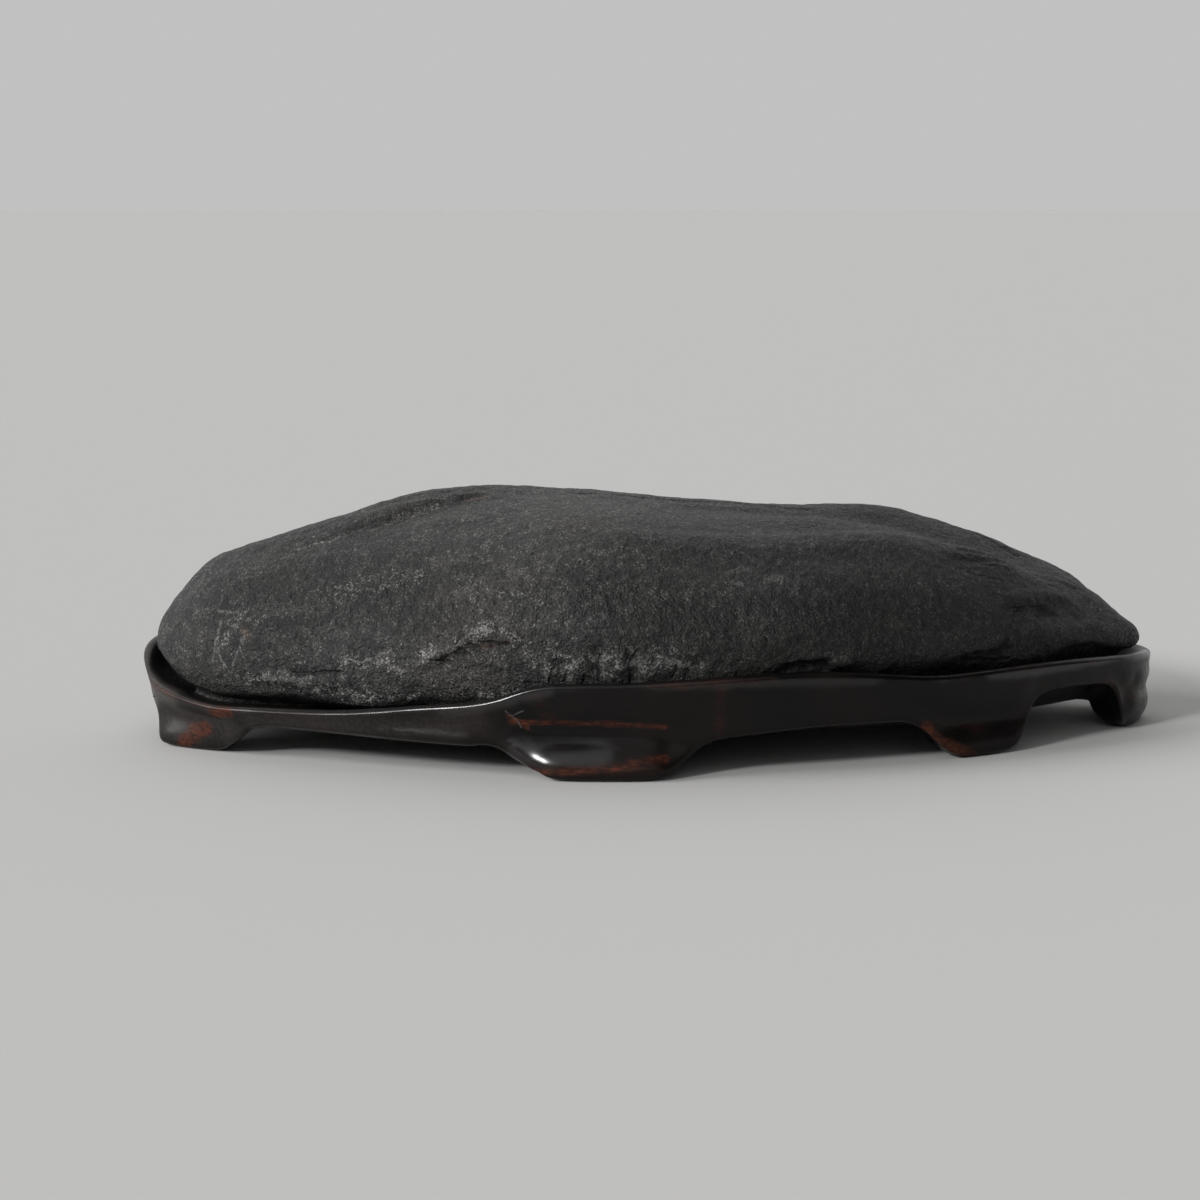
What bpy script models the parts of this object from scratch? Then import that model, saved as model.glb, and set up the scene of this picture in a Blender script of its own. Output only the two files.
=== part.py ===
"""A scholar's stone resting in its carved wooden stand.

Units are metres, +Z is up and the origin is on the ground under the middle of the stand. X runs along
the stone, and -Y is the front. Two pieces: the stone, one river-worn boulder with a high left shoulder,
a shallow saddle and a long right slope, and the stand, one carved board with a rim that follows the
stone, seven feet, arches between them and a seat that holds the stone's flat base.

Both are laid out by bearing, in degrees round the stand: 0 is the right tip, 90 the back, 180 the left
tip and 270 the front. Heights, insets and other sizes below are in millimetres.
"""

import math

import bmesh
import bpy
import numpy as np
from mathutils import Vector, noise

MM = 0.001

# ---- driving dimensions ----
HALF_LENGTH = 146.0  # of the stand's lip, along X
HALF_DEPTH = 71.5  # of the stand's lip, along Y
SEAT_HEIGHT = 12.0  # top of the carved seat over the ground
BOARD_HEIGHT = 8.0  # underside of the board over the ground
SEAT_INSET = 20.0  # from the lip to where the seat's floor is flat
WALL_INSET = 6.4  # from the lip to the foot of the rim's inner wall
LIP_WIDTH = 3.2  # thickness of the rim's top edge
FOOT_DEPTH = 13.0  # of a foot, from its toe inwards
CREASE_HEIGHT = 15.2  # of the carved line where the apron ends over a foot
WAIST_HEIGHT = 10.4  # of the deepest part of a foot's hollow
TOE_HEIGHT = 4.4  # of a toe's proud edge
REST_GAP = 0.3  # between the stone's base and the seat
UNDERCUT = 2.2  # from the stone's widest outline in to its broken edge
CHIP_HEIGHT = 1.6  # of the chips along the broken edge
CHIP_LENGTH = 11.0

STAND_STATIONS = 130  # round the perimeter
STONE_STATIONS = 88
STONE_RINGS = 17  # from the stone's widest outline to its top

# (bearing, value) pairs, each joined by a smooth closed curve.
# Lip outline, as a share of the half length and half depth.
LIP_SHAPE = [(11, 1.019), (26, 1.07), (42, 1.077), (60, 1.054), (79, 1.018), (99, 0.991), (120, 0.973),
             (144, 0.969), (167, 0.978), (187, 1.006), (207, 1.003), (237, 0.962), (264, 1.003),
             (287, 0.914), (315, 0.847), (339, 0.865), (357, 0.946)]
# Height of the rim's top.
RIM_HEIGHT = [(8, 21.2), (30, 20.5), (60, 22.0), (90, 23.4), (120, 24.5), (148, 25.6), (170, 26.4),
              (188, 22.0), (199, 17.4), (211, 14.3), (223, 14.7), (236, 16.1), (246, 18.8), (252.5, 20.9),
              (256.5, 24.2), (263, 25.6), (278, 26.8), (289, 27.0), (298, 25.6), (306, 24.1), (320, 24.1),
              (336, 24.0), (352, 22.9)]
# Height of the apron's lower edge where it arches between two feet.
ARCH_HEIGHT = [(12, 12.5), (45, 11.0), (90, 11.2), (135, 10.4), (180, 9.8), (205, 9.8), (232, 9.3),
               (248, 8.4), (264, 8.6), (278, 10.2), (290, 11.9), (304, 11.5), (320, 13.4), (337, 15.8),
               (350, 14.6)]
# How far the outer face leans in from the lip to the waist above the feet.
WAIST_INSET = [(5, 2.6), (45, 2.8), (90, 3.0), (140, 3.4), (180, 5.0), (200, 5.0), (215, 3.6), (235, 1.8),
               (250, 2.2), (262, 3.0), (285, 1.4), (315, 2.8), (340, 1.6)]
# How far the stone's widest outline lies inside the lip, and its height.
GIRTH_INSET = [(4, 4.3), (30, 4.6), (90, 4.4), (150, 4.6), (180, 5.2), (205, 5.4), (225, 4.6), (260, 4.1),
               (300, 4.1), (325, 4.2), (345, 4.7)]
GIRTH_HEIGHT = [(0, 25.2), (45, 30.0), (90, 32.0), (135, 31.0), (175, 26.5), (205, 25.0), (240, 28.5),
                (285, 31.5), (320, 30.0), (345, 27.8)]
# Height of the stone's broken lower edge.
EDGE_HEIGHT = [(8, 24.0), (40, 21.0), (80, 19.0), (120, 19.5), (160, 22.0), (182, 23.5), (195, 22.0),
               (204, 17.5), (210, 16.0), (219, 17.4), (228, 16.5), (238, 17.4), (245, 20.4), (253, 21.4),
               (264, 20.0), (276, 21.5), (287, 26.6), (292, 24.5), (299, 24.5), (311, 25.8), (322, 24.4),
               (331, 22.6), (343, 26.0), (352, 24.6)]
# How full the stone's flank is: 2 is an ellipse, more is boxier and less is a wedge.
FLANK_FULLNESS = [(0, 1.7), (40, 2.3), (90, 2.6), (135, 2.5), (170, 2.15), (190, 2.1), (220, 2.3),
                  (260, 2.5), (300, 2.5), (335, 2.1)]
# (X, height) pairs of the stone's crest, before its flanks round it off.
CREST_HEIGHT = [(-150, 38.5), (-142, 52.5), (-130, 70.5), (-112, 69.2), (-97, 65.8), (-78, 66.1),
                (-60, 67.3), (-45, 68.8), (-20, 68.2), (5, 64.6), (25, 63.2), (48, 65.0), (65, 66.8),
                (85, 64.8), (102, 62.0), (116, 60.6), (128, 61.0), (138, 49.5), (150, 34.0)]
# (X, Y) of the foot of the step along the left shoulder, and (X, rise) of that step.
STEP_LINE = [(-125, -6), (-111, -12), (-97, -15), (-78, -14), (-60, -7), (-45, 1), (-32, 8)]
STEP_RISE = [(-135, 0.0), (-122, 0.4), (-108, 1.8), (-92, 2.4), (-72, 3.6), (-55, 3.2), (-42, 1.2),
             (-30, 0.0)]

# name, bearings where its toe starts and ends on the ground, length along the rim over which the arch
# beside it rises on each side, and how far the toe stands out past the lip at its start and its end
FEET = [
    ("front", 259.6, 269.3, 20.0, 20.0, 3.2, 3.2),
    ("front_right", 312.3, 323.5, 17.0, 12.0, -0.6, -0.6),
    ("right_tip", -2.4, 26.0, 12.0, 16.0, -2.6, -0.4),
    ("back_right", 52.0, 64.0, 18.0, 20.0, 0.4, 0.4),
    ("back", 89.0, 101.0, 22.0, 22.0, 3.0, 3.0),
    ("back_left", 132.0, 146.0, 20.0, 18.0, -0.8, -0.8),
    ("left_front", 200.4, 212.6, 10.0, 19.0, -0.4, -4.0),
]

# worn lumps and hollows of the stone: name, centre, reach along each axis, height (negative is a hollow)
FORMS = [
    ("left_shoulder", (-108, -26, 50), (20, 18, 11), 1.6),
    ("belly", (8, -62, 43), (48, 14, 13), 1.4),
    ("front_hollow", (-84, -50, 40), (16, 13, 9), -1.8),
    ("scar_plate", (-50, -61, 34), (12, 7, 4.5), 1.3),
    ("low_flake", (-94, -46, 25), (14, 9, 4), 1.1),
    ("right_brow", (100, -20, 47), (20, 14, 6), 1.2),
    ("right_hollow", (117, -14, 36), (17, 14, 8), -2.6),
    ("back_hollow", (38, 52, 46), (30, 15, 12), -2.8),
    ("back_lump", (-62, 48, 46), (26, 15, 12), 2.2),
    ("back_ledge", (-20, 62, 36), (34, 10, 5), 1.8),
    ("back_notch", (92, 44, 38), (14, 13, 8), -2.4),
]


# ---- smooth curves ----
def spline_slopes(knots, values):
    """Slopes at the knots that make the curvature continuous, with both ends left free."""
    count = len(knots)
    step = np.diff(knots)
    rise = np.diff(values) / step
    rows = np.zeros((count, count))
    right = np.zeros(count)
    rows[0, :2] = 2, 1
    right[0] = 3 * rise[0]
    rows[-1, -2:] = 1, 2
    right[-1] = 3 * rise[-1]
    for i in range(1, count - 1):
        rows[i, i - 1 : i + 2] = step[i], 2 * (step[i - 1] + step[i]), step[i - 1]
        right[i] = 3 * (step[i] * rise[i - 1] + step[i - 1] * rise[i])
    return np.linalg.solve(rows, right)


def smooth_curve(pairs):
    """Cubic curve through (place, value) pairs."""
    knots, values = np.array(pairs, float).T
    slopes = spline_slopes(knots, values)

    def curve(place):
        place = np.clip(place, knots[0], knots[-1])
        i = np.clip(np.searchsorted(knots, place, side="right") - 1, 0, len(knots) - 2)
        step = knots[i + 1] - knots[i]
        u = (place - knots[i]) / step
        ends = (1 + 2 * u) * (1 - u) ** 2 * values[i] + u * u * (3 - 2 * u) * values[i + 1]
        bend = u * (1 - u) * step * ((1 - u) * slopes[i] - u * slopes[i + 1])
        return ends + bend

    return curve


def ring_curve(pairs):
    """The same on the closed ring of bearings."""
    ring = [(bearing + turn, value) for turn in (-360, 0, 360) for bearing, value in sorted(pairs)]
    curve = smooth_curve(ring)
    return lambda bearing: curve(np.asarray(bearing, float) % 360)


lip_shape = ring_curve(LIP_SHAPE)
rim_height = ring_curve(RIM_HEIGHT)
arch_height = ring_curve(ARCH_HEIGHT)
waist_inset = ring_curve(WAIST_INSET)
girth_inset = ring_curve(GIRTH_INSET)
girth_height = ring_curve(GIRTH_HEIGHT)
edge_height = ring_curve(EDGE_HEIGHT)
flank_fullness = ring_curve(FLANK_FULLNESS)
crest_height = smooth_curve(CREST_HEIGHT)
step_line = smooth_curve(STEP_LINE)
step_rise = smooth_curve(STEP_RISE)


def ease(share):
    """0 to 1 with flat ends."""
    share = min(max(share, 0.0), 1.0)
    return share * share * (3 - 2 * share)


def lip_point(bearing):
    angle = np.radians(bearing)
    reach = lip_shape(bearing)
    return np.stack([HALF_LENGTH * reach * np.cos(angle), HALF_DEPTH * reach * np.sin(angle)], -1)


def inside_lip(bearing, inset):
    """The plan point at an inset from the lip, measured square to it."""
    along = lip_point(bearing + 0.5) - lip_point(bearing - 0.5)
    inward = np.stack([-along[..., 1], along[..., 0]], -1)
    return lip_point(bearing) + inward * (inset / np.linalg.norm(along))


FINE_BEARINGS = np.linspace(-360, 720, 4321)
FINE_STEPS = np.linalg.norm(np.diff(lip_point(FINE_BEARINGS), axis=0), axis=1)
FINE_RUN = np.concatenate([[0], np.cumsum(FINE_STEPS)])


def run_at(bearing):
    """Distance along the lip to a bearing."""
    return np.interp(bearing, FINE_BEARINGS, FINE_RUN)


# ---- the stand ----
def foot_shares(bearing):
    """Rise of the arch (0 on a toe, 1 between feet), stand-out of the toe, and share of the foot's folds."""
    here = run_at(bearing)
    rise, stand_out, fold = 1.0, 0.0, 0.0
    for _, start, end, before, after, start_reach, end_reach in FEET:
        for turn in (-360, 0, 360):
            toe_start = run_at(start + turn)
            toe_end = run_at(end + turn)
            reach = np.interp(here, (toe_start, toe_end), (start_reach, end_reach))
            past = (toe_start - here) / before if here < toe_start else (here - toe_end) / after
            past = max(past, 0.0)
            if past < 1:
                rise = min(rise, math.sin(past * math.pi / 2) ** 1.15)
                stand_out += reach * (1 - ease(past))
                fold = max(fold, 1 - ease(past * 1.25))
    return rise, stand_out, fold


def between(plain, carved, share):
    """Outline part of the way from a plain one to a carved one with as many points."""
    return [(p[0] + (c[0] - p[0]) * share, p[1] + (c[1] - p[1]) * share) for p, c in zip(plain, carved)]


def stand_section(bearing):
    """Section at a bearing as (inset from the lip, height) points, from the seat out to the underside."""
    top = float(rim_height(bearing))
    arch = float(arch_height(bearing))
    waist = float(waist_inset(bearing))
    rise, toe, fold = foot_shares(bearing)
    low = arch * rise
    drop = top - low
    wall_foot = min(max(SEAT_HEIGHT + 2.4, arch + 3.0), top - 1.6)
    inner = [
        (SEAT_INSET, SEAT_HEIGHT),
        (WALL_INSET + 6, SEAT_HEIGHT + 0.8),
        (WALL_INSET, wall_foot),
        (LIP_WIDTH + 0.7, top - 1.2 - 0.3 * max(top - wall_foot - 4, 0)),
        (LIP_WIDTH, top - 0.6),
        (LIP_WIDTH * 0.55, top),
        (0.5, top - 0.3),
        (0.0, top - 1.3),
    ]
    # between the feet: a slightly hollow wall with a rounded lower edge
    plain = [
        (waist * 0.12, top - drop * 0.22),
        (waist * 0.34, top - drop * 0.40),
        (waist * 0.52, top - drop * 0.58),
        (waist * 0.60, top - drop * 0.74),
        (waist * 0.60, top - drop * 0.86),
        (waist * 0.60 + 0.3, low + 0.8),
        (waist * 0.60 + 1.1, low + 0.1),
    ]
    # on a foot: the apron ends in a crease, folds in under it and swells out again to the toe
    crease = min(CREASE_HEIGHT, top - 2.8)
    carved = [
        (waist * 0.12, crease + 0.55 * (top - crease)),
        (waist * 0.18, crease + 0.6),
        (waist * 0.55, crease - 1.6),
        (waist, WAIST_HEIGHT),
        (waist * 0.62 - toe * 0.25, 0.5 * (WAIST_HEIGHT + TOE_HEIGHT) + 0.2),
        (-toe, TOE_HEIGHT),
        (0.5 - toe, TOE_HEIGHT * 0.35),
    ]
    outer = between(plain, carved, fold)
    corner = waist * 0.60 + 2.4
    under = [
        (corner + (1.4 - toe - corner) * fold, low),
        (corner + 2.5 + (FOOT_DEPTH - 2.0 - corner - 2.5) * fold, low),
        (FOOT_DEPTH + 3.0, low + (BOARD_HEIGHT - low) * (0.9 if low < BOARD_HEIGHT else 1.0)),
        (SEAT_INSET + 0.5, BOARD_HEIGHT),
    ]
    return inner + outer + under


def stand_bearings():
    """Bearings of the stations, closer together where a foot meets an arch."""
    rough = np.linspace(0, 360, 1441)
    rises = np.array([foot_shares(bearing)[0] for bearing in rough])
    weight = np.abs(np.gradient(rises)) * 30 + np.gradient(run_at(rough))
    run = np.concatenate([[0], np.cumsum(0.5 * (weight[1:] + weight[:-1]))])
    return np.interp(np.linspace(0, run[-1], STAND_STATIONS, endpoint=False), run, rough)


def ring_mesh(rings, first_height, last_height):
    """Closed mesh over rings of equal length, from a point inside the first to one inside the last."""
    mesh = bmesh.new()
    loops = [[mesh.verts.new(Vector(point) * MM) for point in ring] for ring in rings]
    count = len(loops[0])
    for upper, lower in zip(loops, loops[1:]):
        for i in range(count):
            j = (i + 1) % count
            mesh.faces.new((upper[i], lower[i], lower[j], upper[j]))
    for loop, height in ((loops[0], first_height), (loops[-1], last_height)):
        pole = mesh.verts.new((0, 0, height * MM))
        for i in range(count):
            mesh.faces.new((pole, loop[i], loop[(i + 1) % count]))
    bmesh.ops.recalc_face_normals(mesh, faces=mesh.faces)
    return mesh


def add_object(name, mesh, material, sharp_angle):
    data = bpy.data.meshes.new(name)
    mesh.to_mesh(data)
    mesh.free()
    data.shade_smooth()
    data.set_sharp_from_angle(angle=math.radians(sharp_angle))
    data.materials.append(material)
    obj = bpy.data.objects.new(name, data)
    bpy.context.scene.collection.objects.link(obj)


def build_stand(material):
    stations = []
    for bearing in stand_bearings():
        section = stand_section(bearing)
        stations.append([(*inside_lip(bearing, inset), z) for inset, z in section])
    rings = list(zip(*stations))
    add_object("stand", ring_mesh(rings, SEAT_HEIGHT, BOARD_HEIGHT), material, 50)


# ---- the stone ----
def stone_above(bearing, climb):
    """Point of the upper surface: climb is 0 at the widest outline and 1 at the top."""
    angle = climb * math.pi / 2
    share = 2 / float(flank_fullness(bearing))
    x, y = inside_lip(bearing, float(girth_inset(bearing))) * math.cos(angle) ** share
    low = float(girth_height(bearing))
    z = low + (float(crest_height(x)) - low) * math.sin(angle) ** share
    return x, y, z


def chip_at(bearing):
    """Rise and fall of the broken edge where chips have come away."""
    x, y = inside_lip(bearing, 0)
    return CHIP_HEIGHT * noise.noise((x / CHIP_LENGTH, y / CHIP_LENGTH, 2.7))


def stone_below(bearing, drop):
    """Point under the widest outline: drop is 1 at the broken edge and 2 at the flat base."""
    start = float(girth_inset(bearing))
    low = float(girth_height(bearing))
    edge = float(edge_height(bearing)) + chip_at(bearing)
    base = SEAT_HEIGHT + REST_GAP
    if drop <= 1:
        inset = start + UNDERCUT * drop**2
        z = low + (edge - low) * drop
    else:
        inset = start + UNDERCUT + (SEAT_INSET + 1.2 - start - UNDERCUT) * (drop - 1)
        z = base + (edge - base) * (2 - drop) ** 1.8
    return (*inside_lip(bearing, inset), z)


def step_at(x, y):
    """Height that the ground behind the shoulder's step adds."""
    behind = ease((y - float(step_line(x))) / 5 + 0.5)
    fade = 1 - ease((y - 20) / 35)
    return float(step_rise(x)) * behind * fade


def swell_at(point):
    """Outward height of the lumps, hollows and worn waves at a point of the stone."""
    height = 1.5 * noise.noise(point / 46 + Vector((3.1, 0.4, 7.7)))
    height += 0.7 * noise.noise(point / 16 + Vector((9.2, 5.5, 1.3)))
    for _, centre, reach, rise in FORMS:
        away = sum(((point[i] - centre[i]) / reach[i]) ** 2 for i in range(3))
        height += rise * math.exp(-away)
    return height


def build_stone(material):
    bearings = np.linspace(0, 360, STONE_STATIONS, endpoint=False)
    climbs = [1 - i / STONE_RINGS for i in range(1, STONE_RINGS)]
    drops = [0, 0.4, 0.75, 1.0, 1.1, 1.3, 1.6, 2.0]
    rings = [[stone_above(bearing, climb) for bearing in bearings] for climb in climbs]
    rings += [[stone_below(bearing, drop) for bearing in bearings] for drop in drops]
    mesh = ring_mesh(rings, float(crest_height(0)), SEAT_HEIGHT + REST_GAP)
    mesh.normal_update()
    for vertex in mesh.verts:
        point = vertex.co / MM
        free = ease((point.z - 22) / 10)  # nothing swells against the stand
        point = point + vertex.normal * swell_at(point) * free
        point.z += step_at(point.x, point.y) * free
        vertex.co = point * MM
    add_object("stone", mesh, material, 60)


def plain_material(name, colour, roughness):
    material = bpy.data.materials.new(name)
    material.use_nodes = True
    shader = material.node_tree.nodes["Principled BSDF"]
    shader.inputs["Base Color"].default_value = (*colour, 1)
    shader.inputs["Roughness"].default_value = roughness
    shader.inputs["Metallic"].default_value = 0.0
    return material


def main():
    for obj in list(bpy.data.objects):
        bpy.data.objects.remove(obj)
    build_stand(plain_material("dark_lacquered_wood", (0.018, 0.012, 0.010), 0.28))
    build_stone(plain_material("dark_river_stone", (0.045, 0.045, 0.045), 0.62))


main()
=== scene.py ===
"""Looks of a scholar's stone resting in its carved, lacquered stand.

Metres, +Z up and -Y the front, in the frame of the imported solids. Two pieces are finished here, each
worked up from a merged copy of its solid: the river-worn stone, chipped along its lower edge, and the
stand, black lacquer rubbed through to red-brown wood on its edges. Places and sizes below are in
millimetres where nothing else is said.
"""

import math

import bpy
import numpy as np
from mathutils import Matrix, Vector, noise


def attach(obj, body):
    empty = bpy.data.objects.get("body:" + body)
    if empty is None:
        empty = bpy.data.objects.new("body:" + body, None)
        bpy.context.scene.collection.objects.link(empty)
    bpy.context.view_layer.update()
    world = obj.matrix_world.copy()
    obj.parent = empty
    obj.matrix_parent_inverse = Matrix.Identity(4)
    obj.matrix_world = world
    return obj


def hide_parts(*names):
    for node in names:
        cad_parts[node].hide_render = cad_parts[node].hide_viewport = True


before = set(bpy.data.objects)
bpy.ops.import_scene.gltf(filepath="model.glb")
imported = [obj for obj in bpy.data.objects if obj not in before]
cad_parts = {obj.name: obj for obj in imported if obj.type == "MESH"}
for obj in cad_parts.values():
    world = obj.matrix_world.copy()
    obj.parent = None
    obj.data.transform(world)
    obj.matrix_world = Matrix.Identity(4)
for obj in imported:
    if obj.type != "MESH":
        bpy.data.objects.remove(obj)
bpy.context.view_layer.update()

MM = 0.001
PATH_STEP = 2.5  # between the points of a path laid on a surface
MERGE_WITHIN = 0.001
QUADS_ANGLE = 3.0  # radians: nearly any two triangles side by side become one four-sided face
SUBDIVIDED = 2  # times
UNSMOOTH = -0.67  # stretches the corners of a solid outwards, about as far as subdividing draws them in
SMOOTH_FACTOR = 0.5  # how far one round of smoothing moves a corner towards its neighbours
LEAST_WEIGHT = 0.003  # a corner that is moved by less than this share is left alone
PATH_REACH = 2.5  # corners farther from a path than this many half widths aren't worked out
PATH_CORE = 0.1  # share of a half width that is worked at full strength
RAGGED_SIZES = (5.0, 1.9)  # features that fray the edge of a path, coarse and fine
RAGGED_FINE_SHARE = 0.7  # strength of the fine ones
FACING_INSIDE = (0.15, 0.6)  # how squarely a wall has to face the middle to count as inside

# ---- the camera ----
CAMERA_PLACE = (-0.015, -0.764, 0.1505)  # m
CAMERA_DIP = 8.427  # degrees below the horizon
CAMERA_LENS = 81.0
CAMERA_SENSOR = 36.0

# ---- the studio ----
# name, bearing it comes from, height over the horizon and width in degrees, strength
STUDIO_LIGHTS = [
    ("window_light", 226.0, 26.0, 10.0, 1.6),
    ("side_window_light", 192.0, 25.0, 32.0, 1.95),
    ("front_light", 270.0, 36.0, 60.0, 0.5),
    ("back_light", 100.0, 50.0, 60.0, 0.30),
]
ROOM_GLOW = 0.03  # light from the room in front
BACKGROUND_GLOW = 0.535  # the pale background behind
BACKGROUND_EDGE = (-0.1, 0.5)  # how far back a direction points where the one turns into the other
FLOOR_RADIUS = 40.0  # m
FLOOR_COLOUR = (0.60, 0.596, 0.588)

# ---- the stone's surface ----
STONE_MESH = 1.05  # size of a face
STONE_MESH_SMOOTHED = 4  # times, to lose the steps of that mesh
STONE_EDGE_CONTRAST = 1.5  # how soon an edge or fold counts as a sharp one
BASE_TOP = 15.0  # the resting base is left alone below this height
FREE_HEIGHT = 19.0  # and the surface is fully weathered above this one
CHIPPED = 0.7  # how ragged the edges of its relief and marks are

# weathering over the whole stone: name, kind of pattern, size of a feature, height
WEATHERING = [
    ("swells", "CLOUDS", 21.0, 0.5),
    ("lumps", "CLOUDS", 8.0, 0.62),
    ("flakes", "VORONOI", 6.0, 0.22),
    ("pits", "CLOUDS", 2.6, 0.36),
]

# Broad fullness added to its form: name, height, half width, path
FULLNESS = [
    ("left_shoulder", 1.5, 16.0, [(-137, 0, 34), (-132, 0, 42), (-129, 0, 46)]),
    ("right_ridge", 0.9, 18.0, [(70, 18, 62), (98, 16, 56), (112, 14, 50)]),
    (
        "front_brow", 1.5, 11.0,
        [(-8, -47, 61), (14, -45, 60), (38, -38, 60), (70, -28, 58), (98, -12, 52), (116, -3, 43)],
    ),
    ("right_shoulder", 1.2, 12.0, [(120, 8, 44), (130, 7, 38), (137, 5, 33)]),
    ("right_tip", 0.5, 8.0, [(139, 3, 31), (140, 6, 30)]),
    ("right_tip_under", 0.9, 7.0, [(132, -6, 26), (138, 1, 26), (140, 10, 26)]),
]

# Relief worked into it: name, height (negative is cut in), half width, path
RELIEF = [
    (
        "shoulder_step", -0.28, 3.0,
        [(-45, 0.5, 69), (-60, -8, 68), (-76, -17, 64), (-95, -20, 59), (-112, -19, 53)],
    ),
    ("shoulder_strip", 0.6, 5.0, [(-50, 8, 69.5), (-66, 3, 68), (-84, -3, 65), (-104, -6, 60)]),
    ("shoulder_notch", -0.7, 2.2, [(-53, -4, 69), (-49, -1.5, 69.5)]),
    ("scar_ridge", 1.2, 3.0, [(-61, -58, 30), (-54, -60, 34), (-45, -61.5, 40)]),
    ("scar_lump", 0.9, 1.5, [(-58, -58.5, 31.4), (-55.5, -59.2, 33.2)]),
    ("scar_flake", 0.9, 1.4, [(-52, -60.3, 35.4), (-49, -60.8, 38.2)]),
    ("scar_cut", -1.1, 1.6, [(-56, -60, 30.5), (-48, -62, 33.5), (-39, -64, 35.5)]),
    ("scar_lobe", 1.0, 2.6, [(-46, -61.5, 36.5), (-38, -64, 37.5)]),
    ("crack", -0.6, 1.2, [(-98.3, -44.5, 24.2), (-91, -47.5, 24.6), (-85, -49.6, 25.0)]),
    ("crack_lip", 0.9, 3.0, [(-106, -41, 22.5), (-98, -45, 21.6), (-88, -49, 21.6)]),
    ("left_chip", -0.7, 3.2, [(-121, -31, 27), (-118, -34, 24)]),
    ("facet_one", -0.9, 3.2, [(-25.5, -66, 25), (-25, -66, 31)]),
    ("facet_two", 0.6, 2.4, [(-21, -66.5, 26), (-21, -66.5, 31)]),
    ("facet_three", -0.8, 3.0, [(-16.5, -67, 26), (-15.5, -67, 33)]),
    ("facet_four", 0.7, 3.0, [(-11, -67, 27), (-10, -67, 33)]),
    ("facet_five", -0.8, 2.2, [(-6.6, -67, 26), (-6.2, -66, 33)]),
    ("facet_six", 0.5, 3.4, [(0, -66.6, 28), (6, -66, 31)]),
    ("facet_seven", -0.7, 3.0, [(9.5, -65, 28), (13, -64.5, 33)]),
    ("notch_middle", -1.4, 2.1, [(34, -60, 27), (40, -58.6, 28), (45, -57, 27.5)]),
    ("notch_flake", 0.8, 2.2, [(47.5, -56, 28.5), (52, -54.5, 29)]),
    ("notch_right", -1.6, 2.4, [(86, -39.5, 25.5), (97, -33.5, 27)]),
    ("right_hollow_cut", -1.3, 2.8, [(99.5, -28.5, 38.5), (107, -23, 38.8), (114, -16.5, 37.4)]),
    ("right_ledge", 0.8, 2.4, [(98, -27, 41.5), (108, -18, 43), (118, -9, 41)]),
    ("right_low_roll", 0.8, 3.4, [(100, -29, 32), (112, -20, 32), (124, -9, 31)]),
    ("strata_high", -0.7, 1.7, [(85, -20, 53.5), (93, -15, 52.5), (100, -10, 51.5)]),
    ("strata_middle", -0.6, 1.6, [(80, -26, 50.5), (90, -20, 50.0), (97, -15, 49.0)]),
    ("strata_low", -0.7, 1.7, [(108, -4, 45.0), (114, 1, 43.5), (121, 4, 40)]),
    ("back_crack", -0.9, 1.7, [(-70, 55, 26), (-58, 58, 35), (-49, 56, 42), (-41, 50, 52)]),
    ("back_ledge", 0.8, 3.2, [(-30, 62, 34), (-8, 64, 38), (14, 62, 36), (30, 58, 39)]),
    ("back_shelf_cut", -1.0, 2.8, [(-28, 64, 30), (-8, 66, 33), (14, 64, 31.5)]),
    ("back_hollow", -1.4, 4.5, [(66, 45, 33), (76, 40, 36)]),
    ("back_low_chip", -1.5, 2.8, [(40, 57, 25), (50, 54, 26.5)]),
    ("back_strata", -0.6, 1.7, [(80, 25, 52), (93, 20, 49), (106, 14, 46)]),
    ("top_seam", -0.6, 1.8, [(-20, 5, 63), (0, 12, 62), (24, 15, 62), (45, 10, 63)]),
    ("left_end_cut", -0.9, 2.0, [(-134, 5, 30), (-131, 14, 36), (-124, 22, 42)]),
]

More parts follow.
